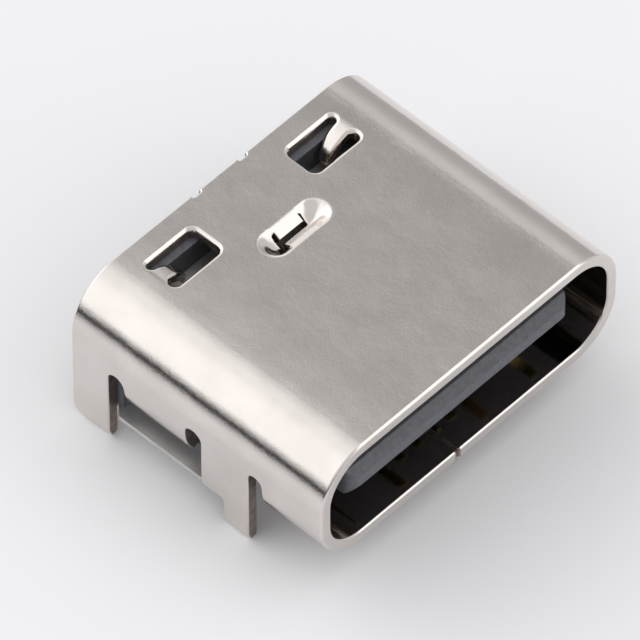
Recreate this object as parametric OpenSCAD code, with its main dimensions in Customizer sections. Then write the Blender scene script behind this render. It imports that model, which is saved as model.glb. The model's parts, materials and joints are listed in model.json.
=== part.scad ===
// Board-mounted USB-C socket: a wrapped sheet-metal shell round a moulded
// housing, whose tongue carries eight contacts above and eight below.
// The origin lies on the board surface, at the middle of the shell's width
// and length. +Z points away from the board, and a plug enters along +Y.

/* [Shell] */
// Outer width of the shell
shell_w = 8.94; // [8.9:0.01:9]
// Outer height of the shell above the board
shell_h = 3.1; // [3.08:0.01:3.16]
// Length of the shell, front to rear
shell_d = 7.15; // [7.15:0.05:7.35]
// Thickness of the sheet metal
sheet = 0.28; // [0.26:0.01:0.3]
// Outer radius of the four long bends
bend_r = 1.27; // [1.2:0.01:1.3]
// Bevel round the outside of the front rim
rim_bevel = 0.07; // [0.04:0.01:0.12]
// Bevel round the inside of the front rim
mouth_bevel = 0.06; // [0.03:0.01:0.08]
// Gap left at the seam in the bottom wall
seam_gap = 0.04; // [0.02:0.01:0.06]
// Sideways place of the seam
seam_x = -0.35; // [-0.5:0.05:0]

/* [Legs and side slots] */
// Depth of the leg tips below the board surface
leg_drop = 0.8; // [0.6:0.05:1]
// Front edge of the front leg
front_leg_y = -1.47; // [-1.5:0.01:-1.44]
// Length of the front leg along the shell
front_leg_len = 0.72; // [0.7:0.01:0.8]
// Rear end of the shoulder behind the front leg
shoulder_y = -0.12; // [-0.15:0.01:-0.1]
// Front edge of the rear leg
rear_leg_y = 2.54; // [2.5:0.01:2.58]
// Width of the slot in front of the front leg
front_slot = 0.38; // [0.34:0.01:0.42]
// Width of the slot behind the shoulder
middle_slot = 0.45; // [0.4:0.01:0.5]
// Width of the slot in front of the rear leg
rear_slot = 0.44; // [0.4:0.01:0.48]
// Height of the free edge of the curled side lip
lip_z = 0.42; // [0.4:0.01:0.46]

/* [Windows, spring tabs and lance] */
// Length of each window across the shell
window_w = 1.4; // [1.36:0.01:1.44]
// Width of each window along the shell
window_d = 0.88; // [0.86:0.01:0.92]
// Distance of each window's centre from the middle
window_x = 2.1; // [2.08:0.01:2.12]
// Place of the windows along the shell
window_y = 2.545; // [2.53:0.005:2.56]
// Thickness of the coined spring tab
tab_t = 0.2; // [0.16:0.01:0.22]
// Width of the tab at its root
tab_root = 0.42; // [0.4:0.01:0.46]
// Width of the tab at its tip
tab_tip = 0.3; // [0.2:0.01:0.35]
// Length of the lance dimple
lance_w = 1.84; // [1.7:0.02:1.9]
// Width of the lance dimple
lance_d = 0.72; // [0.66:0.02:0.76]
// Depth of the lance dimple
lance_depth = 0.12; // [0.08:0.01:0.14]
// Place of the lance along the shell
lance_y = 1.42; // [1.38:0.01:1.46]

/* [Housing] */
// Front face of the base block, where the plug stops
base_y = 2.8; // [2.79:0.01:2.84]
// Rear face of the base block
back_y = 3.45; // [3.4:0.01:3.5]
// Half width of the two arms under the curled lips
arm_x = 3.95; // [3.9:0.01:4]
// Width of the tongue
tongue_w = 6.69; // [6.65:0.01:6.73]
// Thickness of the tongue
tongue_t = 0.7; // [0.65:0.01:0.75]
// Front end of the tongue
tongue_y = -3.34; // [-3.4:0.01:-3.2]
// Slope of the tongue's lead-in above and below its tip
tongue_bevel = 0.2; // [0.15:0.01:0.22]
// Half height of the thick root of the tongue
root_h = 0.5; // [0.48:0.01:0.52]
// Front of the thick root of the tongue
root_y = 2.05; // [2:0.05:2.2]
// Diameter of the two locating pegs
peg_d = 0.5; // [0.4:0.02:0.6]
// Length of the pegs below the board surface
peg_len = 0.6; // [0.4:0.05:0.7]
// Side of each peg's square collar, which fills a hole in the bottom plate
collar_w = 0.7; // [0.66:0.02:0.8]
// Sideways place of each peg
peg_x = 2.89; // [2.85:0.01:2.93]
// Place of the pegs along the shell
peg_y = 2.52; // [2.5:0.01:2.54]

/* [Plates] */
// Thickness of the bottom plate
plate_t = 0.1; // [0.08:0.01:0.12]
// Half width of the bottom plate between the legs
plate_x = 4.42; // [4.38:0.01:4.45]
// Thickness of the stiffening plate inside the tongue
mid_t = 0.15; // [0.12:0.01:0.18]
// Thickness of the two grounding pads at the tongue's root
pad_t = 0.1; // [0.08:0.01:0.12]

/* [Contacts] */
// Thickness of the contact strip
contact_t = 0.12; // [0.1:0.01:0.14]
// Width of each contact on the tongue
contact_w = 0.25; // [0.22:0.01:0.27]
// Width of each solder tail
tail_w = 0.22; // [0.18:0.01:0.24]
// Rear end of the solder tails
tail_y = 4.08; // [3.95:0.01:4.15]

/* [Hidden] */
$fn = 48;

// Clearance between pieces that slide together
fit = 0.02;
// Overshoot of a cutting tool, and overlap of shapes that merge
over = 0.05;
inner_r = bend_r - sheet;
inner_top = shell_h - sheet;
mid_z = shell_h / 2;
front_y = -shell_d / 2;
rear_y = shell_d / 2;
// Sideways offset of the windows, tabs and nicks, punched in one stroke
punch_x = -0.06;
// Half width of the bottom wall left between the two front legs
wall_x = 2.9;
// Rear lower corners of the legs, and heights of the slots' round tops
front_leg_r = 0.24;
rear_leg_r = 0.42;
front_slot_top = 1.47;
middle_slot_top = 1.5;
rear_slot_top = 1.38;
shoulder_gap = 0.03;
floor_y = shoulder_y + shoulder_gap;
plate_rear_y = 3;
seat_x = shell_w / 2 - sheet - fit;

// Lengths along the tab's arm, from its root towards the middle
tab_y = window_y + 0.045;
tab_bend_x = window_x + window_w / 2 - 0.02;
tab_bend_r = 0.7;
tab_slope = 60;
tab_straight = 0.15;
tab_curl_r = 0.15;
tab_end_slope = 15;
relief_x = window_x + window_w / 2;

// Contacts: [place on the tongue, place of the solder tail]
upper_row = [[-2.75, -3.4], [-1.25, -2.6], [-0.75, -1.25], [-0.25, -0.25]];
lower_row = [[-2.75, -3.1], [-1.25, -2.3], [-0.75, -1.75], [-0.25, -0.75]];
long_contact_y = -2.87;
short_contact_y = -2.4;
jog_y = 2.88;
drop_y = 3.15;

// ---- Helpers ----

// Draws a flat (x, z) shape as a bar between two places along the shell
module along_y(y0, y1) {
    translate([0, y1, 0])
        rotate([90, 0, 0])
            linear_extrude(y1 - y0)
                children();
}

// Draws a flat (y, z) shape as a bar between two places across the shell
module along_x(x0, x1) {
    translate([x0, 0, 0])
        rotate([90, 0, 90])
            linear_extrude(x1 - x0)
                children();
}

// Draws a flat (x, y) shape as a slab between two heights
module along_z(z0, z1) {
    translate([0, 0, z0])
        linear_extrude(z1 - z0)
            children();
}

module both_sides() {
    children();
    mirror([1, 0, 0])
        children();
}

// Rectangle with round corners that stands on the line z = 0
module rounded_rect(w, h, r) {
    translate([-w / 2 + r, 0])
        square([w - 2 * r, h]);
    translate([-w / 2, r])
        square([w, h - 2 * r]);
    for (x = [-w / 2 + r, w / 2 - r], z = [r, h - r])
        translate([x, z])
            circle(r);
}

// Slot with a full round end, centred on the origin
module obround(w, d) {
    square([w - d, d], center = true);
    for (x = [-1, 1])
        translate([x * (w - d) / 2, 0])
            circle(d / 2);
}

module cavity_outline() {
    translate([0, sheet])
        rounded_rect(shell_w - 2 * sheet, shell_h - 2 * sheet, inner_r);
}

// ---- Shell ----

// Bevels one straight run of the rim: a wedge along x at height z
module straight_bevel(w, r, z, flip, size) {
    along_x(-(w / 2 - r), w / 2 - r)
        polygon([
            [front_y - over, z + flip * over],
            [front_y + size + over, z + flip * over],
            [front_y - over, z - flip * (size + over)]
        ]);
}

module upright_bevel(w, h, r, flip, size) {
    along_z(mid_z - (h / 2 - r), mid_z + (h / 2 - r))
        polygon([
            [w / 2 + flip * over, front_y - over],
            [w / 2 + flip * over, front_y + size + over],
            [w / 2 - flip * (size + over), front_y - over]
        ]);
}

module corner_bevel(w, h, r, flip, size) {
    for (k = [0, 3]) {
        sz = (k == 0) ? -1 : 1;
        translate([w / 2 - r, front_y, mid_z + sz * (h / 2 - r)])
            rotate([-90, 0, 0])
                rotate([0, 0, 90 * k])
                    rotate_extrude(angle = 90)
                        polygon([
                            [r + flip * over, -over],
                            [r + flip * over, size + over],
                            [r - flip * (size + over), -over]
                        ]);
    }
}

// Bevel round a rim; flip is 1 for the outer edge and -1 for the mouth
module rim(w, h, r, flip, size) {
    straight_bevel(w, r, mid_z + h / 2, flip, size);
    straight_bevel(w, r, mid_z - h / 2, -flip, size);
    both_sides() {
        upright_bevel(w, h, r, flip, size);
        corner_bevel(w, h, r, flip, size);
    }
}

module shell_ring() {
    difference() {
        along_y(front_y, rear_y)
            difference() {
                rounded_rect(shell_w, shell_h, bend_r);
                cavity_outline();
            }
        rim(shell_w, shell_h, bend_r, 1, rim_bevel);
        rim(shell_w - 2 * sheet, shell_h - 2 * sheet, inner_r, -1, mouth_bevel);
    }
}

// Outline of one leg in (y, z), with its rear lower corner rounded
module leg_outline(y0, y1, r) {
    translate([y0, -leg_drop])
        square([y1 - y0 - r, leg_drop + bend_r + over]);
    translate([y0, -leg_drop + r])
        square([y1 - y0, leg_drop + bend_r + over - r]);
    translate([y1 - r, -leg_drop + r])
        circle(r);
}

module side_outline() {
    leg_end_y = front_leg_y + front_leg_len;
    crook = 0.1;
    leg_outline(front_leg_y, leg_end_y, front_leg_r);
    leg_outline(rear_leg_y, rear_y, rear_leg_r);
    translate([front_leg_y, 0])
        square([shoulder_y - front_leg_y, bend_r + over]);
    // Small fillet where the shoulder turns down into the leg
    difference() {
        translate([leg_end_y, -crook])
            square([crook, crook + over]);
        translate([leg_end_y + crook, -crook])
            circle(crook);
    }
}

// Straight side sheet with both legs, coined to a blunt point at the tips
module legs() {
    outer_x = shell_w / 2;
    coin = 0.1;
    coin_h = 0.2;
    intersection() {
        along_x(outer_x - sheet, outer_x)
            side_outline();
        along_y(front_y, rear_y)
            polygon([
                [outer_x - sheet, bend_r + over],
                [outer_x - sheet, coin_h / 2 - leg_drop],
                [outer_x - sheet + coin / 2, -leg_drop],
                [outer_x - coin, -leg_drop],
                [outer_x, coin_h - leg_drop],
                [outer_x, bend_r + over]
            ]);
    }
}

// Slot up one side, with a round top, from below the shell
module side_slot(y0, width, top) {
    along_x(wall_x, shell_w)
        union() {
            translate([y0, -1])
                square([width, top + 1 - width / 2]);
            translate([y0 + width / 2, top - width / 2])
                circle(width / 2);
        }
}

// Everything taken from the lower half of the wrapped sheet
module under_cuts() {
    // The bottom wall ends at the shoulders; the curled lips run on behind them
    translate([-shell_w, shoulder_y, -1])
        cube([2 * shell_w, rear_y - shoulder_y + 1, 1 + lip_z]);
    translate([-shell_w, rear_leg_y - over, -1])
        cube([2 * shell_w, rear_y - rear_leg_y + 1, 1 + bend_r]);
    both_sides() {
        translate([wall_x, front_leg_y - over, -1])
            cube([shell_w, shoulder_y - front_leg_y + 2 * over, 1 + bend_r]);
        side_slot(front_leg_y - front_slot, front_slot, front_slot_top);
        side_slot(shoulder_y, middle_slot, middle_slot_top);
        side_slot(rear_leg_y - rear_slot, rear_slot, rear_slot_top);
    }
}

// Dovetail key of the seam, grown on every side by g
module seam_key(g) {
    key_y = front_y + 1.7;
    key_len = 0.45;
    neck = 0.5;
    head = 0.72;
    polygon([
        [seam_x - g - over, key_y - neck / 2 - g],
        [seam_x + key_len + g, key_y - head / 2 - g],
        [seam_x + key_len + g, key_y + head / 2 + g],
        [seam_x - g - over, key_y + neck / 2 + g]
    ]);
}

module seam() {
    g = seam_gap / 2;
    along_z(-over, sheet + over)
        difference() {
            union() {
                translate([seam_x - g, front_y - over])
                    square([seam_gap, shoulder_y - front_y + 2 * over]);
                intersection() {
                    seam_key(g);
                    translate([seam_x - g, front_y])
                        square([2, shoulder_y - front_y]);
                }
            }
            seam_key(-g);
        }
}

// Window outline with two relief slots that free the spring tab
module window_outline() {
    corner = 0.15;
    tab_rear = tab_y + tab_root / 2;
    tab_front = tab_y - tab_root / 2;
    rear_gap = window_y + window_d / 2 - tab_rear;
    front_gap = tab_front - (window_y - window_d / 2);
    x0 = window_x - window_w / 2;
    difference() {
        union() {
            translate([x0 + corner, window_y - window_d / 2])
                square([window_w - corner, window_d]);
            translate([x0, window_y - window_d / 2 + corner])
                square([corner, window_d - 2 * corner]);
            for (y = [-1, 1])
                translate([x0 + corner, window_y + y * (window_d / 2 - corner)])
                    circle(corner);
        }
        translate([tab_bend_x, tab_front])
            square([1, tab_root]);
        translate([relief_x - rear_gap / 2, tab_rear])
            square([1, 1]);
        translate([relief_x - front_gap / 2, tab_front - 1])
            square([1, 1]);
    }
    translate([relief_x - rear_gap / 2, tab_rear + rear_gap / 2])
        circle(rear_gap / 2);
    translate([relief_x - front_gap / 2, tab_front - front_gap / 2])
        circle(front_gap / 2);
}

module windows() {
    both_sides()
        along_z(inner_top - over, shell_h + over)
            window_outline();
}

// Centre line of the tab's arm as [x, z, slope] points, bent down then curled up
function arm_bend() = [
    for (a = [0:5:tab_slope])
        [tab_bend_x - tab_bend_r * sin(a), shell_h - tab_t / 2 - tab_bend_r * (1 - cos(a)), a]
];
function arm_curl(x, z) = [
    for (a = [tab_slope:-5:tab_end_slope])
        [
            x - tab_curl_r * (sin(tab_slope) - sin(a)),
            z - tab_curl_r * (cos(a) - cos(tab_slope)),
            a
        ]
];
function arm_line() =
    let (bend = arm_bend(), last = bend[len(bend) - 1])
        concat(
            [[tab_bend_x + over, shell_h - tab_t / 2, 0]],
            bend,
            arm_curl(last[0] - tab_straight * cos(tab_slope), last[1] - tab_straight * sin(tab_slope))
        );
function beside(line, d) = [for (p = line) [p[0] - d * sin(p[2]), p[1] + d * cos(p[2])]];
function reversed(v) = [for (i = [len(v) - 1:-1:0]) v[i]];

module tab() {
    line = arm_line();
    reach = line[len(line) - 1][0] - tab_t;
    intersection() {
        along_y(tab_y - tab_root / 2, tab_y + tab_root / 2)
            polygon(concat(beside(line, tab_t / 2), reversed(beside(line, -tab_t / 2))));
        along_z(0, shell_h)
            polygon([
                [tab_bend_x + 1, tab_y - tab_root / 2],
                [tab_bend_x, tab_y - tab_root / 2],
                [reach, tab_y - tab_tip / 2],
                [reach, tab_y + tab_tip / 2],
                [tab_bend_x, tab_y + tab_root / 2],
                [tab_bend_x + 1, tab_y + tab_root / 2]
            ]);
    }
}

// Shallow dimple, slit in an H so that its two doors can be bent to the housing
module lance_pocket() {
    along_z(shell_h - lance_depth, shell_h + over)
        translate([0, lance_y])
            obround(lance_w, lance_d);
}

module lance_bump() {
    along_z(inner_top - lance_depth, inner_top + over)
        translate([0, lance_y])
            obround(lance_w - 0.1, lance_d - 0.1);
}

module lance_slits() {
    slit = 0.07;
    slit_x = 0.39;
    door_w = 0.22;
    along_z(inner_top - 1, shell_h + over)
        translate([0, lance_y]) {
            translate([-slit_x, 0])
                square([2 * slit_x, slit]);
            for (x = [-slit_x, slit_x])
                translate([x - slit / 2, -door_w])
                    square([slit, 2 * door_w + slit / 2]);
        }
}

// Two nicks in the rear edge, where the strip that carried the sheet was cut off
module carrier_nicks() {
    nick_w = 0.24;
    nick_d = 0.07;
    nick_x = 0.69;
    for (side = [-1, 1])
        translate([punch_x + side * nick_x - nick_w / 2, rear_y - nick_d, inner_top - over])
            cube([nick_w, 1, 1]);
}

module shell() {
    color("silver") {
        difference() {
            union() {
                difference() {
                    shell_ring();
                    under_cuts();
                }
                lance_bump();
            }
            translate([punch_x, 0, 0])
                windows();
            lance_pocket();
            lance_slits();
            carrier_nicks();
            seam();
        }
        both_sides()
            legs();
        translate([punch_x, 0, 0])
            both_sides()
                tab();
    }
}

// ---- Plates ----

// Outline in (x, y), with its wide part ended short of the rear legs
module plate_outline() {
    leg_clearance = 0.26;
    wide_y = rear_leg_y - leg_clearance;
    polygon([
        [-plate_x, floor_y],
        [plate_x, floor_y],
        [plate_x, wide_y],
        [seat_x, wide_y + plate_x - seat_x],
        [seat_x, plate_rear_y],
        [-seat_x, plate_rear_y],
        [-seat_x, wide_y + plate_x - seat_x],
        [-plate_x, wide_y]
    ]);
}

// Cover under the housing, from the shoulders to the solder tails
module bottom_plate() {
    hole_w = collar_w + 2 * fit;
    color("lightgray")
        difference() {
            along_z(0, plate_t)
                plate_outline();
            for (x = [-peg_x, peg_x])
                translate([x - hole_w / 2, peg_y - hole_w / 2, -over])
                    cube([hole_w, hole_w, plate_t + 2 * over]);
        }
}

// Cuts the latch notches in the two long edges of the tongue
module latch_notches() {
    notch_y = -1.75;
    notch_len = 0.9;
    notch_depth = 0.3;
    both_sides()
        translate([tongue_w / 2 - notch_depth, notch_y])
            square([1, notch_len]);
}

module mid_plate_outline() {
    wing_y = tongue_y + 0.75;
    tip_x = tongue_w / 2 - 0.5;
    difference() {
        union() {
            translate([-tongue_w / 2, wing_y])
                square([tongue_w, plate_rear_y - wing_y]);
            translate([-tip_x, tongue_y + 0.3])
                square([2 * tip_x, 1]);
        }
        latch_notches();
    }
}

module mid_plate() {
    color("gray")
        along_z(mid_z - mid_t / 2, mid_z + mid_t / 2)
            mid_plate_outline();
}

// Thin pad on the thick root of the tongue, with a lip hooked over its front
module ground_pad() {
    pad_x = 3.3;
    lip = 0.15;
    top = root_h + pad_t;
    along_x(-pad_x, pad_x)
        polygon([
            [root_y - pad_t, top],
            [plate_rear_y, top],
            [plate_rear_y, root_h],
            [root_y, root_h],
            [root_y, root_h - lip],
            [root_y - pad_t, root_h - lip]
        ]);
}

module upper_ground_pad() {
    color("gold")
        translate([0, 0, mid_z])
            ground_pad();
}

module lower_ground_pad() {
    color("gold")
        translate([0, 0, mid_z])
            mirror([0, 0, 1])
                ground_pad();
}

// ---- Contacts ----

// One stamped contact: a beam along the tongue, a sideways jog inside the
// base block, a drop to the board and a flat tail behind the shell
module contact(row, level, start_y) {
    x = row[0];
    tail_x = row[1];
    along_z(level, level + contact_t)
        union() {
            translate([x - contact_w / 2, start_y])
                square([contact_w, jog_y - start_y]);
            polygon([
                [x - contact_w / 2, jog_y],
                [x + contact_w / 2, jog_y],
                [tail_x + tail_w / 2, drop_y],
                [tail_x - tail_w / 2, drop_y]
            ]);
        }
    along_x(tail_x - tail_w / 2, tail_x + tail_w / 2)
        union() {
            translate([drop_y, 0])
                square([contact_t, level + contact_t]);
            translate([drop_y, 0])
                square([tail_y - drop_y, contact_t]);
        }
}

module upper_contact(k, side, start_y) {
    color("gold")
        mirror([side > 0 ? 1 : 0, 0, 0])
            contact(upper_row[k], mid_z + tongue_t / 2 - contact_t, start_y);
}

module lower_contact(k, side, start_y) {
    color("gold")
        mirror([side > 0 ? 1 : 0, 0, 0])
            contact(lower_row[k], mid_z - tongue_t / 2, start_y);
}

module contact_a1() {
    upper_contact(0, -1, long_contact_y);
}

module contact_a4() {
    upper_contact(1, -1, long_contact_y);
}

module contact_a5() {
    upper_contact(2, -1, short_contact_y);
}

module contact_a6() {
    upper_contact(3, -1, short_contact_y);
}

module contact_a7() {
    upper_contact(3, 1, short_contact_y);
}

module contact_a8() {
    upper_contact(2, 1, short_contact_y);
}

module contact_a9() {
    upper_contact(1, 1, long_contact_y);
}

module contact_a12() {
    upper_contact(0, 1, long_contact_y);
}

module contact_b12() {
    lower_contact(0, -1, long_contact_y);
}

module contact_b9() {
    lower_contact(1, -1, long_contact_y);
}

module contact_b8() {
    lower_contact(2, -1, short_contact_y);
}

module contact_b7() {
    lower_contact(3, -1, short_contact_y);
}

module contact_b6() {
    lower_contact(3, 1, short_contact_y);
}

module contact_b5() {
    lower_contact(2, 1, short_contact_y);
}

module contact_b4() {
    lower_contact(1, 1, long_contact_y);
}

module contact_b1() {
    lower_contact(0, 1, long_contact_y);
}

// ---- Housing ----

// Block that closes the rear of the shell; its upper corners follow the bends
module base_block() {
    block_r = inner_r - fit;
    top = inner_top - fit;
    along_y(base_y, back_y)
        union() {
            translate([-seat_x, plate_t])
                square([2 * seat_x, top - block_r - plate_t]);
            translate([-seat_x + block_r, plate_t])
                square([2 * (seat_x - block_r), top - plate_t]);
            for (x = [-1, 1])
                translate([x * (seat_x - block_r), top - block_r])
                    circle(block_r);
        }
}

// Floor of the plug's space and the arms that fill the corners under the lips
module floor_and_arms() {
    difference() {
        along_y(floor_y, base_y + over)
            translate([-arm_x, plate_t])
                square([2 * arm_x, lip_z - fit - plate_t]);
        along_y(floor_y - over, base_y)
            cavity_outline();
    }
}

// Side cheeks that widen the arms to the shell just in front of the base
module cheeks() {
    flare = seat_x - arm_x;
    cheek_y = rear_leg_y - rear_slot + 0.06;
    cheek_top = 0.95;
    difference() {
        both_sides()
            along_z(plate_t, cheek_top)
                difference() {
                    translate([arm_x - 0.6, cheek_y])
                        square([seat_x - arm_x + 0.6, base_y + over - cheek_y]);
                    translate([arm_x + flare, cheek_y])
                        circle(flare);
                }
        along_y(floor_y - over, base_y)
            cavity_outline();
    }
}

module tongue_outline() {
    corner = 0.35;
    difference() {
        union() {
            translate([-tongue_w / 2, tongue_y + corner])
                square([tongue_w, base_y - tongue_y]);
            translate([-tongue_w / 2 + corner, tongue_y])
                square([tongue_w - 2 * corner, 1]);
            for (x = [-1, 1])
                translate([x * (tongue_w / 2 - corner), tongue_y + corner])
                    circle(corner);
        }
        latch_notches();
    }
}

// Tongue with a sloping lead-in, and the thick root that carries the pads
module tongue() {
    half = tongue_t / 2;
    root_x = 3.6;
    intersection() {
        along_z(mid_z - half, mid_z + half)
            tongue_outline();
        along_x(-tongue_w, tongue_w)
            translate([0, mid_z])
                polygon([
                    [base_y + over, -half],
                    [tongue_y + tongue_bevel, -half],
                    [tongue_y, -half + tongue_bevel],
                    [tongue_y, half - tongue_bevel],
                    [tongue_y + tongue_bevel, half],
                    [base_y + over, half]
                ]);
    }
    translate([-root_x, root_y, mid_z - root_h])
        cube([2 * root_x, base_y - root_y + over, 2 * root_h]);
}

// Locating pegs with a lead-in at the tip and a square collar in the bottom plate
module pegs() {
    lead = 0.08;
    for (x = [-peg_x, peg_x]) {
        translate([x, peg_y, 0])
            rotate_extrude()
                polygon([
                    [0, -peg_len],
                    [peg_d / 2 - lead, -peg_len],
                    [peg_d / 2, lead - peg_len],
                    [peg_d / 2, plate_t / 2],
                    [0, plate_t / 2]
                ]);
        translate([x - collar_w / 2, peg_y - collar_w / 2, 0])
            cube([collar_w, collar_w, plate_t + over]);
    }
}

module housing() {
    color("dimgray")
        difference() {
            union() {
                base_block();
                floor_and_arms();
                cheeks();
                tongue();
                pegs();
            }
            mid_plate();
            upper_ground_pad();
            lower_ground_pad();
            for (side = [-1, 1], k = [0:3]) {
                upper_contact(k, side, k < 2 ? long_contact_y : short_contact_y);
                lower_contact(k, side, k < 2 ? long_contact_y : short_contact_y);
            }
        }
}

shell();
bottom_plate();
housing();
mid_plate();
upper_ground_pad();
lower_ground_pad();
contact_a1();
contact_a4();
contact_a5();
contact_a6();
contact_a7();
contact_a8();
contact_a9();
contact_a12();
contact_b1();
contact_b4();
contact_b5();
contact_b6();
contact_b7();
contact_b8();
contact_b9();
contact_b12();
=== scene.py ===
import json
import math

import bpy
from mathutils import Matrix, Vector, geometry, kdtree


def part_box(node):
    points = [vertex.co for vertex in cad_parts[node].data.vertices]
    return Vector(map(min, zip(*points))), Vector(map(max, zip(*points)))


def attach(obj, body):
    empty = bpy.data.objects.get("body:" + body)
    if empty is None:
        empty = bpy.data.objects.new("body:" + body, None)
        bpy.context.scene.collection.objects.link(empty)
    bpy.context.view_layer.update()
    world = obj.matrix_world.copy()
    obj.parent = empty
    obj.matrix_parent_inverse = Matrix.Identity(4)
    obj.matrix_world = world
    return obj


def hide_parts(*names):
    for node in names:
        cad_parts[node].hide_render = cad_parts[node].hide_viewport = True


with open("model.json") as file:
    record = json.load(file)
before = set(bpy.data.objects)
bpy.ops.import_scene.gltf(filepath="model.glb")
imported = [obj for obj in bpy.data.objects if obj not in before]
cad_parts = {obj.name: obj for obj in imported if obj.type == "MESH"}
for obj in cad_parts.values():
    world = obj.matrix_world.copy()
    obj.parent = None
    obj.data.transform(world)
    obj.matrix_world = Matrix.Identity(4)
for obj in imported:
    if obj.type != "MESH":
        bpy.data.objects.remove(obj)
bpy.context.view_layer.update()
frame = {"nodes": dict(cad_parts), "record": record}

# The looks of a board-mounted USB-C socket. The wrapped sheet-metal shell is
# modelled here as a real sheet: its flat pattern is filled with triangles,
# given thickness and rolled edges, and wrapped round the section. The other
# solids keep their shapes and get only their materials here.
# Lengths are in millimetres and scaled to metres when a mesh is made.

MM = 0.001


def corners_mm(node):
    """Lowest and highest corners of a node's box, in millimetres."""
    low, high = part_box(node)
    return [c / MM for c in low], [c / MM for c in high]


# ---- Sizes of the shell ----

shell_low, shell_high = corners_mm("shell")
WIDTH = shell_high[0] - shell_low[0]
HEIGHT = shell_high[2]
FRONT = shell_low[1]
REAR = shell_high[1]
LEG_TIP = shell_low[2]
SHEET = 0.28
BEND = 1.27
ROLLED = 0.045          # rolled upper edge of every punched outline
FRONT_ROLL = 0.065      # softer roll of the front rim
BURR = 0.02             # small round on the inner face

FRONT_LEG_Y = -1.47
FRONT_LEG_REAR = -0.75
SHOULDER_Y = -0.12
REAR_LEG_Y = 2.54
FRONT_SLOT = 0.38       # widths and tops of the slots beside the legs
MIDDLE_SLOT = 0.45
REAR_SLOT = 0.44
FRONT_SLOT_TOP = 1.47
MIDDLE_SLOT_TOP = 1.5
REAR_SLOT_TOP = 1.38
WALL_X = 2.9            # half width of the bottom wall between the front legs
LIP_ANGLE = math.radians(42)
SEAM_X = -0.35
SEAM_GAP = 0.012
PUNCH_X = -0.06         # sideways offset of the windows, tabs and nicks
NICK_X = 0.69           # nicks in the rear edge
NICK_W = 0.24
NICK_D = 0.07
ROUND_END = 0.499       # share of a slot's width that rounds its end

WINDOW = (2.1, 2.545)   # centre of a window
WINDOW_SIZE = (1.4, 0.88)
WINDOW_R = 0.17
WINDOW_ROLL = 0.1
RELIEF_X = 2.8          # outer end of the relief slots beside a tab
TAB_Y = 2.59
TAB_ROOT = 0.42         # widths of a tab
TAB_TIP = 0.3
TAB_TAPER = 0.35        # parallel part of a tab before it tapers
TAB_ROOT_X = 2.9        # where a tab starts to bend down
TAB_T = 0.2

LANCE = (-0.02, 1.42)   # centre of the lance
LANCE_SIZE = (1.9, 0.76)
LANCE_DEPTH = 0.2
LANCE_LIP = 0.03        # soft edge of the dish, outside its outline
SLIT = 0.07
SLIT_X = 0.39
DOORS = (0.22, 0.24)    # length of the upright slits to the front and rear
DOOR_GAP = 0.035        # how far the long slit sits behind the middle

FRONT_FILL = 0.76       # brightness of the studio before and behind the table
BACK_KEY = 2.0

# Arc lengths round the section, measured from the middle of the top face
FLAT_END = WIDTH / 2 - BEND
SIDE_START = FLAT_END + BEND * math.pi / 2
SIDE_END = SIDE_START + HEIGHT - 2 * BEND
UNDER_START = SIDE_END + BEND * math.pi / 2


def side_s(z):
    """Arc length of the point at height z on a straight side."""
    return SIDE_START + HEIGHT - BEND - z


def under_s(x):
    """Arc length of the point at distance x on the bottom wall."""
    return UNDER_START + FLAT_END - x


# ---- Flat outlines ----

def filleted(corners, closed=True, step=math.radians(12)):
    """Turns (u, y, radius) corners into points, with an arc at each corner."""
    points = []
    count = len(corners)
    for i, (u, y, radius) in enumerate(corners):
        here = Vector((u, y))
        before = Vector(corners[i - 1][:2])
        after = Vector(corners[(i + 1) % count][:2])
        into = (here - before).normalized()
        out = (after - here).normalized()
        turn = math.atan2(into.x * out.y - into.y * out.x, into.dot(out))
        if radius <= 0 or abs(turn) < 1e-4:
            points.append(here)
            continue
        reach = radius * math.tan(abs(turn) / 2)
        side = 1 if turn > 0 else -1
        centre = here - into * reach + Vector((-into.y, into.x)) * radius * side
        start = math.atan2(into.y, into.x) - side * math.pi / 2
        steps = max(2, math.ceil(abs(turn) / step))
        for k in range(steps + 1):
            a = start + turn * k / steps
            points.append(centre + Vector((math.cos(a), math.sin(a))) * radius)
    return points


def divided(points, spacing):
    """Splits the long edges of a closed outline and drops doubled points."""
    result = []
    for i, here in enumerate(points):
        after = points[(i + 1) % len(points)]
        if result and (here - result[-1]).length < 1e-4:
            continue
        result.append(here)
        pieces = math.ceil((after - here).length / spacing)
        for k in range(1, pieces):
            result.append(here.lerp(after, k / pieces))
    if (result[0] - result[-1]).length < 1e-4:
        result.pop()
    return result


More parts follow.
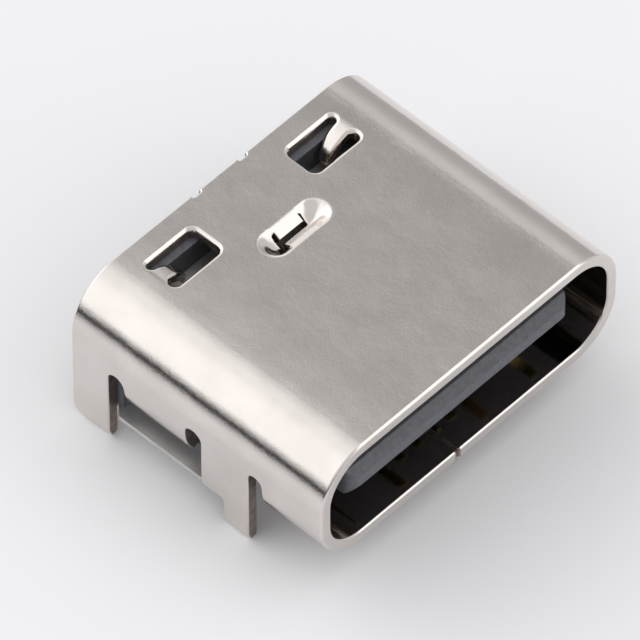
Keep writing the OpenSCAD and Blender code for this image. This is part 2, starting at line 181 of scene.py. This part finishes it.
def half_outline(side):
    """Corners of one half of the flat pattern, from the seam's front end to
    the middle of the rear edge, as (distance from the middle, y, radius)."""
    gap = SEAM_GAP / 2
    key_y = FRONT + 1.7
    neck = 0.25
    head = 0.36
    key_len = 0.45
    swell = gap if side > 0 else -gap
    edge_x = SEAM_X + gap * side

    def s_of(x):
        return under_s(x * side)

    key_x = SEAM_X + key_len + swell
    tip = side_s(LEG_TIP)
    lip = SIDE_END + BEND * LIP_ANGLE
    nick_x = NICK_X + PUNCH_X * side
    nicks = (nick_x - NICK_W / 2, nick_x + NICK_W / 2)
    return [
        (s_of(edge_x), FRONT, 0.08),
        (s_of(edge_x), key_y - neck - swell, 0.06),
        (s_of(key_x), key_y - head - swell, 0.06),
        (s_of(key_x), key_y + head + swell, 0.06),
        (s_of(edge_x), key_y + neck + swell, 0.06),
        (s_of(edge_x), SHOULDER_Y, 0.05),
        (under_s(WALL_X), SHOULDER_Y, 0.05),
        (under_s(WALL_X), FRONT_LEG_Y - FRONT_SLOT, 0.1),
        (side_s(FRONT_SLOT_TOP), FRONT_LEG_Y - FRONT_SLOT, FRONT_SLOT * ROUND_END),
        (side_s(FRONT_SLOT_TOP), FRONT_LEG_Y, FRONT_SLOT * ROUND_END),
        (tip, FRONT_LEG_Y, 0.06),
        (tip, FRONT_LEG_REAR, 0.24),
        (side_s(0), FRONT_LEG_REAR, 0.1),
        (side_s(0), SHOULDER_Y, 0.06),
        (side_s(MIDDLE_SLOT_TOP), SHOULDER_Y, MIDDLE_SLOT * ROUND_END),
        (side_s(MIDDLE_SLOT_TOP), SHOULDER_Y + MIDDLE_SLOT, MIDDLE_SLOT * ROUND_END),
        (lip, SHOULDER_Y + MIDDLE_SLOT, 0.12),
        (lip, REAR_LEG_Y - REAR_SLOT, 0.3),
        (side_s(REAR_SLOT_TOP), REAR_LEG_Y - REAR_SLOT, REAR_SLOT * ROUND_END),
        (side_s(REAR_SLOT_TOP), REAR_LEG_Y, REAR_SLOT * ROUND_END),
        (tip, REAR_LEG_Y, 0.06),
        (tip, REAR, 0.42),
        (nicks[1], REAR, 0),
        (nicks[1], REAR - NICK_D, 0.05),
        (nicks[0], REAR - NICK_D, 0.05),
        (nicks[0], REAR, 0),
    ]


def sheet_outline():
    """The whole flat pattern, anticlockwise with u to the right."""
    right = half_outline(1)
    left = [(-s, y, r) for s, y, r in reversed(half_outline(-1))]
    return right + left


def window_outline(side):
    """One window with its tab left standing in it, clockwise."""
    x0 = WINDOW[0] - WINDOW_SIZE[0] / 2
    front = WINDOW[1] - WINDOW_SIZE[1] / 2
    rear = WINDOW[1] + WINDOW_SIZE[1] / 2
    tab_front = TAB_Y - TAB_ROOT / 2
    tab_rear = TAB_Y + TAB_ROOT / 2
    tip_x = TAB_ROOT_X - arm_length()
    taper_x = RELIEF_X - TAB_TAPER
    relief_front = (tab_front - front) * ROUND_END
    relief_rear = (rear - tab_rear) * ROUND_END
    corners = [
        (x0, front, WINDOW_R),
        (RELIEF_X, front, relief_front),
        (RELIEF_X, tab_front, relief_front),
        (taper_x, tab_front, 0.2),
        (tip_x, TAB_Y - TAB_TIP / 2, 0.1),
        (tip_x, TAB_Y + TAB_TIP / 2, 0.1),
        (taper_x, tab_rear, 0.2),
        (RELIEF_X, tab_rear, relief_rear),
        (RELIEF_X, rear, relief_rear),
        (x0, rear, WINDOW_R),
    ]
    if side > 0:
        return [(PUNCH_X + x, y, r) for x, y, r in reversed(corners)]
    return [(PUNCH_X - x, y, r) for x, y, r in corners]


def lance_outline():
    """The H of slits in the lance, clockwise."""
    half = SLIT / 2
    middle, y0 = LANCE
    low = y0 - DOORS[0]
    high = y0 + DOORS[1]
    across = y0 + DOOR_GAP
    right = [
        (SLIT_X - half, across + half, 0),
        (SLIT_X - half, high, 0.02),
        (SLIT_X + half, high, 0.02),
        (SLIT_X + half, low, 0.02),
        (SLIT_X - half, low, 0.02),
        (SLIT_X - half, across - half, 0),
    ]
    left = [(-x, y, radius) for x, y, radius in reversed(right)]
    return [(middle + x, y, radius) for x, y, radius in right + left]


# ---- Wrapping the flat pattern ----

ARM_BEND_R = 0.76
ARM_SLOPE = math.radians(60)
ARM_STRAIGHT = 0.1
ARM_CURL_R = 0.15
ARM_END = math.radians(15)


def arm_length():
    return ARM_BEND_R * ARM_SLOPE + ARM_STRAIGHT + ARM_CURL_R * (ARM_SLOPE - ARM_END)


def arm_point(q):
    """Inward run, drop and slope of the tab's centre line after a length q."""
    bend_len = ARM_BEND_R * ARM_SLOPE
    a = min(q, bend_len) / ARM_BEND_R
    run = ARM_BEND_R * math.sin(a)
    drop = ARM_BEND_R * (1 - math.cos(a))
    if q > bend_len:
        straight = min(q - bend_len, ARM_STRAIGHT)
        run += straight * math.cos(ARM_SLOPE)
        drop += straight * math.sin(ARM_SLOPE)
    if q > bend_len + ARM_STRAIGHT:
        a = ARM_SLOPE - (q - bend_len - ARM_STRAIGHT) / ARM_CURL_R
        run += ARM_CURL_R * (math.sin(ARM_SLOPE) - math.sin(a))
        drop += ARM_CURL_R * (math.cos(a) - math.cos(ARM_SLOPE))
    return run, drop, a


def smooth(edge0, edge1, value):
    t = min(1.0, max(0.0, (value - edge0) / (edge1 - edge0)))
    return t * t * (3 - 2 * t)


def tab_share(u, y):
    """1 on a tab and at its root, falling to 0 on the flat sheet beside it."""
    s = abs(u - PUNCH_X)
    if not 1.6 < s < TAB_ROOT_X:
        return 0.0
    return smooth(0.12, 0.0, abs(y - TAB_Y) - TAB_ROOT / 2)


def tab_surface(u, share):
    """(x, z) of the outer face where the tab bends down out of the sheet."""
    side = 1 if u > PUNCH_X else -1
    s = abs(u - PUNCH_X)
    run, drop, slope = arm_point(TAB_ROOT_X - s)
    x = TAB_ROOT_X - run - math.sin(slope) * TAB_T / 2
    z = HEIGHT - TAB_T / 2 - drop + math.cos(slope) * TAB_T / 2
    x = s + (x - s) * share
    z = HEIGHT + (z - HEIGHT) * share
    return PUNCH_X + side * x, z


def lance_drop(u, y):
    """How far the top face is pressed down in and round the lance."""
    x = u - LANCE[0]
    half = LANCE_SIZE[1] / 2
    reach = LANCE_SIZE[0] / 2 - half
    away = math.hypot(max(0.0, abs(x) - reach), y - LANCE[1])
    within = half - away
    if within <= -LANCE_LIP:
        return 0.0
    drop = LANCE_DEPTH * smooth(-LANCE_LIP, 0.42, within)
    if abs(x) > SLIT_X:
        sunk = 0.09 * smooth(0.5, 0.0, abs(x) - SLIT_X)
        return drop + sunk * smooth(0.0, 0.25, within)
    # The two doors: each is held up a little and bent down at its free edge
    edge = LANCE[1] + DOOR_GAP
    if y < edge:
        return drop * 0.8 + 0.07 * smooth(0.12, 0.0, edge - y)
    return drop * 0.75 + 0.03 * smooth(0.14, 0.0, y - edge)


def is_straight(s, y):
    """True where the side sheet runs straight down instead of curling under."""
    if s > (side_s(LEG_TIP) + under_s(WALL_X)) / 2:
        return False
    front_zone = FRONT_LEG_Y - FRONT_SLOT / 2 < y < SHOULDER_Y + MIDDLE_SLOT / 2
    return front_zone or y > REAR_LEG_Y - REAR_SLOT / 2


def outer_surface(u, y):
    """Point of the sheet's outer face for a point of the flat pattern."""
    side = 1 if u >= 0 else -1
    s = abs(u)
    if s <= FLAT_END:
        share = tab_share(u, y)
        if share > 0:
            x, z = tab_surface(u, share)
            return Vector((x, y, z))
        return Vector((u, y, HEIGHT - lance_drop(u, y)))
    if s <= SIDE_START:
        a = (s - FLAT_END) / BEND
        x = FLAT_END + BEND * math.sin(a)
        z = HEIGHT - BEND + BEND * math.cos(a)
    elif s <= SIDE_END or is_straight(s, y):
        x = WIDTH / 2
        z = HEIGHT - BEND - (s - SIDE_START)
    elif s <= UNDER_START:
        a = (s - SIDE_END) / BEND
        x = FLAT_END + BEND * math.cos(a)
        z = BEND - BEND * math.sin(a)
    else:
        x = FLAT_END - (s - UNDER_START)
        z = 0.0
    return Vector((side * x, y, z))


def local_axes(u, y):
    """Directions along u and y and the outward normal of the sheet there."""
    h = 0.002
    along_u = (outer_surface(u + h, y) - outer_surface(u - h, y)).normalized()
    along_y = (outer_surface(u, y + h) - outer_surface(u, y - h)).normalized()
    return along_u, along_y, along_u.cross(along_y).normalized()


def crown(u, y):
    """Slight lean of the flat top, in radians, where it runs into a bend."""
    s = abs(u)
    if s > FLAT_END + 0.25 or tab_share(u, y) > 0:
        return 0.0
    lean = 1.5 * smooth(2.0, 2.9, s) + 2.0 * smooth(2.9, FLAT_END, s)
    lean *= smooth(FLAT_END + 0.25, FLAT_END, s)
    return math.copysign(math.radians(lean), u)


def thinning(u, y):
    """Share of the sheet's thickness left, less on the coined tab."""
    s = abs(u - PUNCH_X)
    return 1 - (1 - TAB_T / SHEET) * smooth(0.1, 0.3, TAB_ROOT_X - s) * tab_share(u, y)


def coined(point, depth):
    """Draws the outer face of a leg in towards its blunt tip."""
    near = 1 - (point.z - LEG_TIP) / 0.2
    if near <= 0:
        return point
    side = 1 if point.x > 0 else -1
    pull = 0.09 * near * (1 - depth / SHEET) - 0.03 * near * depth / SHEET
    return Vector((point.x - side * pull, point.y, point.z))


# ---- Filling and thickening the sheet ----

# Places of the sheet's three materials in its list: outer nickel, inner nickel with painted
# shade, and cut walls partly painted shade
OUTSIDE, INSIDE, CUT = range(3)


def outline_normals(points):
    """Outward mitred normals of an outline whose inside is on its left."""
    normals = []
    for i, here in enumerate(points):
        into = (here - points[i - 1]).normalized()
        out = (points[(i + 1) % len(points)] - here).normalized()
        n1 = Vector((into.y, -into.x))
        n2 = Vector((out.y, -out.x))
        both = n1 + n2
        normals.append(both / max(0.4, 1 + n1.dot(n2)))
    return normals


def grid_points():
    """Points inside the pattern: close together where the sheet is shaped."""
    columns = []
    s = 0.0
    full = under_s(-0.5)
    while s < full:
        bent = FLAT_END - 0.6 < s < UNDER_START + 0.1
        columns.append(s)
        s += 0.07 if bent else 0.22
    points = []
    rows = 34
    for i in range(1, rows):
        y = FRONT + (REAR - FRONT) * i / rows
        for s in columns:
            points.append(Vector((s, y)))
            if s > 0:
                points.append(Vector((-s, y)))
    for i in range(34):
        for j in range(20):
            s = TAB_ROOT_X + 0.06 - 0.036 * i
            y = TAB_Y + (TAB_ROOT + 0.3) * (j / 19 - 0.5)
            points.append(Vector((PUNCH_X + s, y)))
            points.append(Vector((PUNCH_X - s, y)))
    for i in range(61):
        for j in range(27):
            u = LANCE[0] + (LANCE_SIZE[0] + 0.14) * (i / 60 - 0.5)
            y = LANCE[1] + (LANCE_SIZE[1] + 0.14) * (j / 26 - 0.5)
            points.append(Vector((u, y)))
    return points


def inside(point, loop):
    """True if a flat point lies within a closed loop."""
    crossings = 0
    for i, a in enumerate(loop):
        b = loop[i - 1]
        if (a.y > point.y) != (b.y > point.y):
            at = a.x + (b.x - a.x) * (point.y - a.y) / (b.y - a.y)
            crossings += at > point.x
    return crossings % 2 == 1


def in_hole(triangle, points, holes):
    middle = sum((Vector(points[k]) for k in triangle), Vector((0, 0))) / 3
    return any(inside(middle, hole) for hole in holes)


class Sheet:
    """Collects the vertices, normals and faces of one closed sheet."""

    def __init__(self):
        self.verts = []
        self.normals = []
        self.faces = []
        self.surface_materials = []

    def add(self, p, depth, normal):
        """Adds the point a depth below flat point p; the normal is given
        along u, along y and out of the sheet."""
        u, y = p
        axis_u, axis_y, out = local_axes(u, y)
        here = outer_surface(u, y) - out * depth * thinning(u, y)
        self.verts.append(coined(here, depth) * MM)
        lean = crown(u, y) if depth == 0 else 0
        up = out * math.cos(lean) + axis_u * math.sin(lean)
        edge = (axis_u * normal[0] + axis_y * normal[1]) + up * normal[2]
        self.normals.append(edge.normalized())
        return len(self.verts) - 1

    def add_face(self, corners, surface_material):
        self.faces.append(corners)
        self.surface_materials.append(surface_material)

    def add_ring(self, loop, miters, rolls, a, below):
        """Adds one ring of a rolled edge at angle a round the roll, on its
        outer side or, if below is true, round the small burr inside."""
        ring = []
        for p, n, r in zip(loop, miters, rolls):
            unit = n.normalized()
            at = p - n * r * (1 - math.sin(a))
            depth = SHEET - BURR * (1 - math.cos(a)) if below else r * (1 - math.cos(a))
            rise = -math.cos(a) if below else math.cos(a)
            ring.append(self.add(at, depth, (unit.x * math.sin(a), unit.y * math.sin(a), rise)))
        return ring

    def make(self, name):
        mesh = bpy.data.meshes.new(name)
        mesh.from_pydata(self.verts, [], self.faces)
        mesh.update()
        for polygon, surface_material in zip(mesh.polygons, self.surface_materials):
            polygon.use_smooth = True
            polygon.material_index = surface_material
        mesh.normals_split_custom_set_from_vertices(self.normals)
        piece = bpy.data.objects.new(name, mesh)
        bpy.context.scene.collection.objects.link(piece)
        return piece


def fill_pattern(loops):
    """Fills the flat pattern between closed loops, of which the first is the
    rim. Gives the points, the triangles and the place of each loop point."""
    flat = [p for loop in loops for p in loop]
    edges = []
    start = 0
    for loop in loops:
        count = len(loop)
        edges += [(start + k, start + (k + 1) % count) for k in range(count)]
        start += count
    tree = kdtree.KDTree(len(flat))
    for i, p in enumerate(flat):
        tree.insert((p.x, p.y, 0), i)
    tree.balance()
    holes = loops[1:]
    inner = []
    for p in grid_points():
        clear = tree.find((p.x, p.y, 0))[2] > 0.03
        if clear and inside(p, loops[0]) and not any(inside(p, h) for h in holes):
            inner.append(p)
    made = geometry.delaunay_2d_cdt(flat + inner, edges, [], 1, 1e-6)
    points, triangles, origins = made[0], made[2], made[3]
    triangles = [t for t in triangles if not in_hole(t, points, holes)]
    place_of = {}
    for i, sources in enumerate(origins):
        rim = [o for o in sources if o < len(flat)]
        if rim:
            place_of[rim[0]] = i
            points[i] = flat[rim[0]]
    return points, triangles, place_of


def build_sheet(name, outlines):
    """Makes the closed sheet-metal mesh from its flat outlines, of which the
    first is the rim and the others are holes. Each has its edge roll."""
    loops = [divided(filleted(corners), 0.07) for corners, roll in outlines]
    spans = []
    insets = []
    for loop, (corners, roll) in zip(loops, outlines):
        miters = outline_normals(loop)
        rolls = [FRONT_ROLL if p.y < FRONT + 0.001 else roll for p in loop]
        insets.append([p - n * r for p, n, r in zip(loop, miters, rolls)])
        spans.append((loop, miters, rolls))
    points, triangles, place_of = fill_pattern(insets)

    sheet = Sheet()
    outer_index = {}
    inner_index = {}
    for i, p in enumerate(points):
        outer_index[i] = sheet.add(p, 0, (0, 0, 1))
        inner_index[i] = sheet.add(p, SHEET, (0, 0, -1))
    for tri in triangles:
        sheet.add_face([outer_index[k] for k in tri], OUTSIDE)
        sheet.add_face([inner_index[k] for k in reversed(tri)], INSIDE)

    quarter = [math.radians(a) for a in (22.5, 45, 67.5, 90)]
    start = 0
    for loop, miters, rolls in spans:
        count = len(loop)
        places = [place_of[start + k] for k in range(count)]
        start += count
        rings = [[outer_index[i] for i in places]]
        rings += [sheet.add_ring(loop, miters, rolls, a, False) for a in quarter]
        rings += [sheet.add_ring(loop, miters, rolls, a, True) for a in reversed(quarter)]
        rings.append([inner_index[i] for i in places])
        for level, (upper, lower) in enumerate(zip(rings, rings[1:])):
            for k in range(count):
                after = (k + 1) % count
                rim = loop[k].y < FRONT + 0.001
                # Cut walls get the dark cut steel, which is partly painted shade; the front rim's
                # wall keeps the bright outer nickel
                surface_material = OUTSIDE if level < len(quarter) or rim else CUT
                sheet.add_face([upper[k], lower[k], lower[after], upper[after]], surface_material)
    return sheet.make(name)


# ---- Materials ----

def new_material(name):
    material = bpy.data.materials.new(name)
    material.use_nodes = True
    nodes = material.node_tree.nodes
    links = material.node_tree.links
    return material, nodes, links, nodes["Principled BSDF"]


def noise(nodes, links, scale, detail=2.0):
    """Noise in the object's own coordinates; scale is cells per millimetre."""
    place = nodes.new("ShaderNodeTexCoord")
    texture = nodes.new("ShaderNodeTexNoise")
    texture.inputs["Scale"].default_value = scale / MM
    texture.inputs["Detail"].default_value = detail
    links.new(place.outputs["Object"], texture.inputs["Vector"])
    return texture.outputs["Fac"]


def colour_between(nodes, links, factor, dark, light, spread=(0.35, 0.65)):
    ramp = nodes.new("ShaderNodeValToRGB")
    ramp.color_ramp.elements[0].position = spread[0]
    ramp.color_ramp.elements[1].position = spread[1]
    ramp.color_ramp.elements[0].color = (*dark, 1)
    ramp.color_ramp.elements[1].color = (*light, 1)
    links.new(factor, ramp.inputs["Fac"])
    return ramp.outputs["Color"]


def value_between(nodes, links, factor, low, high, spread=(0.3, 0.7)):
    ramp = nodes.new("ShaderNodeMapRange")
    ramp.inputs["From Min"].default_value = spread[0]
    ramp.inputs["From Max"].default_value = spread[1]
    ramp.inputs["To Min"].default_value = low
    ramp.inputs["To Max"].default_value = high
    links.new(factor, ramp.inputs["Value"])
    return ramp.outputs["Result"]


def bump(nodes, links, heights, rounding=0.0):
    """Chains bumps of (height socket, depth in millimetres), over edges
    softened by the given radius in millimetres."""
    normal = None
    if rounding:
        soft = nodes.new("ShaderNodeBevel")
        soft.samples = 4
        soft.inputs["Radius"].default_value = rounding * MM
        normal = soft.outputs["Normal"]
    for height, depth in heights:
        node = nodes.new("ShaderNodeBump")
        node.inputs["Distance"].default_value = depth * MM
        node.inputs["Strength"].default_value = 1.0
        links.new(height, node.inputs["Height"])
        if normal:
            links.new(normal, node.inputs["Normal"])
        normal = node.outputs["Normal"]
    return normal


def metal(name, dark, light, rough, speckle, rounding=0.0, cloud=1.2):
    """Plated metal: cloudy tone, fine speckle and a soft uneven polish."""
    material, nodes, links, shader = new_material(name)
    clouds = noise(nodes, links, cloud, 3)
    fine = noise(nodes, links, 22, 2)
    shader.inputs["Metallic"].default_value = 1.0
    tone = colour_between(nodes, links, clouds, dark, light)
    links.new(tone, shader.inputs["Base Color"])
    polish = value_between(nodes, links, fine, *rough)
    links.new(polish, shader.inputs["Roughness"])
    normal = bump(nodes, links, [(fine, speckle), (clouds, speckle * 6)], rounding)
    links.new(normal, shader.inputs["Normal"])
    return material


def nickel_plate():
    return metal("nickel_plate", (0.70, 0.655, 0.62), (0.745, 0.70, 0.665), (0.11, 0.17), 0.0018)


# Painted shade: the same nickel plating as the outside, made darker on the inner faces to stand
# in for the dark inside of the shell
def nickel_inside_painted_shade():
    return metal("nickel_inside_painted_shade", (0.40, 0.36, 0.33), (0.46, 0.42, 0.38), (0.08, 0.13), 0.0008)


def cut_steel_and_painted_shade():
    """The sheared wall of the sheet, bare steel with the marks of the cut; its dark brown is
    partly this bare steel and partly painted shade for the shadowed floor it reflects.
    """
    return metal("cut_steel_and_painted_shade", (0.24, 0.20, 0.18), (0.36, 0.30, 0.27), (0.3, 0.42), 0.002, cloud=6)


def plain_plate():
    return metal("plain_plate", (0.60, 0.59, 0.58), (0.66, 0.65, 0.64), (0.5, 0.6), 0.0008, 0.02)


def gold_plate():
    return metal("gold_plate", (0.80, 0.58, 0.26), (0.86, 0.66, 0.32), (0.16, 0.26), 0.0005, 0.02)


def stiffener():
    return metal("stiffener", (0.52, 0.51, 0.50), (0.58, 0.57, 0.55), (0.25, 0.35), 0.0008, 0.015)


def moulded_plastic():
    """Blue-black glass-filled plastic with a fine grain and a dull sheen; painted shade turns it
    near black in the space above the tongue's root."""
    material, nodes, links, shader = new_material("moulded_plastic")
    grain = noise(nodes, links, 30, 3)
    patches = noise(nodes, links, 9, 3)
    tone = colour_between(nodes, links, patches, (0.105, 0.107, 0.122), (0.135, 0.137, 0.155))
    # Painted shade: a near-black colour above z 2 mm and in front of y 2.8 mm stands in for the
    # shadow above the tongue's root
    painted_shade_colour = colour_between(nodes, links, patches, (0.012, 0.012, 0.014), (0.016, 0.016, 0.018))
    place = nodes.new("ShaderNodeTexCoord")
    split = nodes.new("ShaderNodeSeparateXYZ")
    links.new(place.outputs["Object"], split.inputs["Vector"])
    y = split.outputs["Y"]
    z = split.outputs["Z"]
    low = value_between(nodes, links, z, 1, 0, (1.96 * MM, 2.0 * MM))
    rear = value_between(nodes, links, y, 0, 1, (2.79 * MM, 2.82 * MM))
    lit = nodes.new("ShaderNodeMath")
    lit.operation = "MAXIMUM"
    links.new(low, lit.inputs[0])
    links.new(rear, lit.inputs[1])
    colour = blended(nodes, links, lit.outputs["Value"], painted_shade_colour, tone)
    links.new(colour, shader.inputs["Base Color"])
    sheen = value_between(nodes, links, grain, 0.4, 0.55)
    links.new(sheen, shader.inputs["Roughness"])
    normal = bump(nodes, links, [(grain, 0.004)], 0.03)
    links.new(normal, shader.inputs["Normal"])
    return material


def floor_paint():
    """Pale paper, with painted shade far off on the left where the light does not reach."""
    material, nodes, links, shader = new_material("floor_paint")
    patches = noise(nodes, links, 0.05, 2)
    pale = colour_between(nodes, links, patches, (0.86, 0.86, 0.875), (0.865, 0.865, 0.88))
    far_painted_shade = colour_between(nodes, links, patches, (0.1, 0.1, 0.1), (0.12, 0.12, 0.12))
    place = nodes.new("ShaderNodeTexCoord")
    split = nodes.new("ShaderNodeSeparateXYZ")
    links.new(place.outputs["Object"], split.inputs["Vector"])
    # Painted shade: the paper darkens from 11 mm to 30 mm left of the socket and stays dark
    # beyond
    fade = (-30 * MM, -11 * MM)
    near = value_between(nodes, links, split.outputs["X"], 0, 1, fade)
    links.new(blended(nodes, links, near, far_painted_shade, pale), shader.inputs["Base Color"])
    shader.inputs["Roughness"].default_value = 0.9
    shader.inputs["Specular IOR Level"].default_value = 0.1
    return material


# ---- Pieces ----

def make_shell():
    outlines = [
        (sheet_outline(), ROLLED),
        (window_outline(1), WINDOW_ROLL),
        (window_outline(-1), WINDOW_ROLL),
        (lance_outline(), 0.02),
    ]
    piece = build_sheet("shell_sheet", outlines)
    # The inner and cut materials carry painted shade
    for surface_material in (nickel_plate(), nickel_inside_painted_shade(), cut_steel_and_painted_shade()):
        piece.data.materials.append(surface_material)
    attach(piece, "root")
    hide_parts("shell")
    return piece


def dress_solids():
    """Gives every kept solid the material of its slot in the record."""
    makers = {
        "plain_steel": plain_plate(),
        "black_plastic": moulded_plastic(),
        "stiffener_steel": stiffener(),
        "nickel_pad": plain_plate(),
        "gold_contact": gold_plate(),
    }
    for part in frame["record"]["subparts"]:
        if part["material_slot"] in makers:
            solid = frame["nodes"][part["node"]]
            solid.data.materials.clear()
            solid.data.materials.append(makers[part["material_slot"]])


# ---- Floor, light and camera ----

def make_floor():
    """A round pale table top, level with the tips of the legs."""
    radius = 45
    steps = 96
    verts = [(0, 0, LEG_TIP * MM)]
    for k in range(steps):
        a = 2 * math.pi * k / steps
        verts.append((radius * math.cos(a) * MM, radius * math.sin(a) * MM, LEG_TIP * MM))
    faces = [(0, 1 + k, 1 + (k + 1) % steps) for k in range(steps)]
    mesh = bpy.data.meshes.new("floor")
    mesh.from_pydata(verts, [], faces)
    mesh.materials.append(floor_paint())
    floor = bpy.data.objects.new("floor", mesh)
    bpy.context.scene.collection.objects.link(floor)


def ramp_of(nodes, links, factor, stops):
    """Grey ramp over -1 to 1 with stops of (place, brightness)."""
    place = value_between(nodes, links, factor, 0, 1, (-1, 1))
    node = nodes.new("ShaderNodeValToRGB")
    links.new(place, node.inputs["Fac"])
    ramp = node.color_ramp
    while len(ramp.elements) < len(stops):
        ramp.elements.new(0.5)
    for element, (x, level) in zip(ramp.elements, stops):
        element.position = (x + 1) / 2
        element.color = (level, level, level * 1.005, 1)
    return node.outputs["Color"]


def blended(nodes, links, factor, first, second):
    node = nodes.new("ShaderNodeMix")
    node.data_type = "RGBA"
    links.new(factor, node.inputs["Factor"])
    links.new(first, node.inputs["A"])
    links.new(second, node.inputs["B"])
    return node.outputs["Result"]


def studio_walls(nodes, links, x, y):
    """Brightness of the walls: a big soft window on the left, a strip light
    over the front and a bright wall behind, each graded from left to right."""
    sides = ramp_of(nodes, links, x, [
        (-0.5, 1.33), (-0.3, 1.28), (-0.1, 1.15), (0.08, 1.13), (0.17, 1.08),
        (0.31, 0.8), (0.4, 0.6), (0.45, 0.52), (0.475, 0.5), (0.505, 0.36),
        (0.53, 0.4), (0.58, 0.66), (0.63, 0.74), (0.7, 0.72), (0.8, 0.6), (0.87, 0.51)
    ])
    front = ramp_of(nodes, links, x, [
        (0.2, FRONT_FILL), (0.34, 1.5), (0.58, 1.5), (0.72, FRONT_FILL)
    ])
    back = ramp_of(nodes, links, x, [(0.1, BACK_KEY), (0.35, 1.1)])
    forward = value_between(nodes, links, y, 0, 1, (0.0, 0.3))
    rearward = value_between(nodes, links, y, 0, 1, (0.52, 0.68))
    walls = blended(nodes, links, forward, front, sides)
    return blended(nodes, links, rearward, walls, back)


def make_world():
    """The studio round the table, with a dark gap between the table and the
    window on the left."""
    world = bpy.data.worlds.new("studio")
    bpy.context.scene.world = world
    world.use_nodes = True
    nodes = world.node_tree.nodes
    links = world.node_tree.links
    place = nodes.new("ShaderNodeTexCoord")
    split = nodes.new("ShaderNodeSeparateXYZ")
    links.new(place.outputs["Generated"], split.inputs["Vector"])
    x, y, z = split.outputs
    walls = studio_walls(nodes, links, x, y)
    high = value_between(nodes, links, z, 0, 1, (0.01, 0.28))
    right = value_between(nodes, links, x, 0, 1, (-0.3, 0.3))
    either = nodes.new("ShaderNodeMath")
    either.operation = "MAXIMUM"
    links.new(high, either.inputs[0])
    links.new(right, either.inputs[1])
    gap = nodes.new("ShaderNodeMix")
    gap.data_type = "RGBA"
    gap.inputs["A"].default_value = (0.05, 0.05, 0.055, 1)
    links.new(either.outputs["Value"], gap.inputs["Factor"])
    links.new(walls, gap.inputs["B"])
    links.new(gap.outputs["Result"], nodes["Background"].inputs["Color"])
    nodes["Background"].inputs["Strength"].default_value = 1.0


def make_camera():
    """A long lens above the front left corner, looking down on the socket."""
    target = Vector((-0.530, 0.205, 1.55))
    distance = 290.7
    azimuth = math.radians(46.32)
    elevation = math.radians(50.86)
    roll = -0.0036
    flat = Vector((-math.sin(azimuth), -math.cos(azimuth), 0))
    back = flat * math.cos(elevation) + Vector((0, 0, math.sin(elevation)))
    level = Vector((math.cos(azimuth), -math.sin(azimuth), 0))
    upright = back.cross(level)
    right = level * math.cos(roll) + upright * math.sin(roll)
    up = back.cross(right)
    data = bpy.data.cameras.new("camera")
    data.sensor_width = 36
    data.lens = 787.5
    data.clip_start = 0.02
    data.clip_end = 2
    data.dof.use_dof = False
    camera = bpy.data.objects.new("camera", data)
    turn = Matrix((right, up, back)).transposed().to_4x4()
    camera.matrix_world = Matrix.Translation((target + back * distance) * MM) @ turn
    bpy.context.scene.collection.objects.link(camera)
    bpy.context.scene.camera = camera


make_shell()
dress_solids()
make_floor()
make_world()
make_camera()
bpy.context.scene.view_settings.view_transform = "Standard"
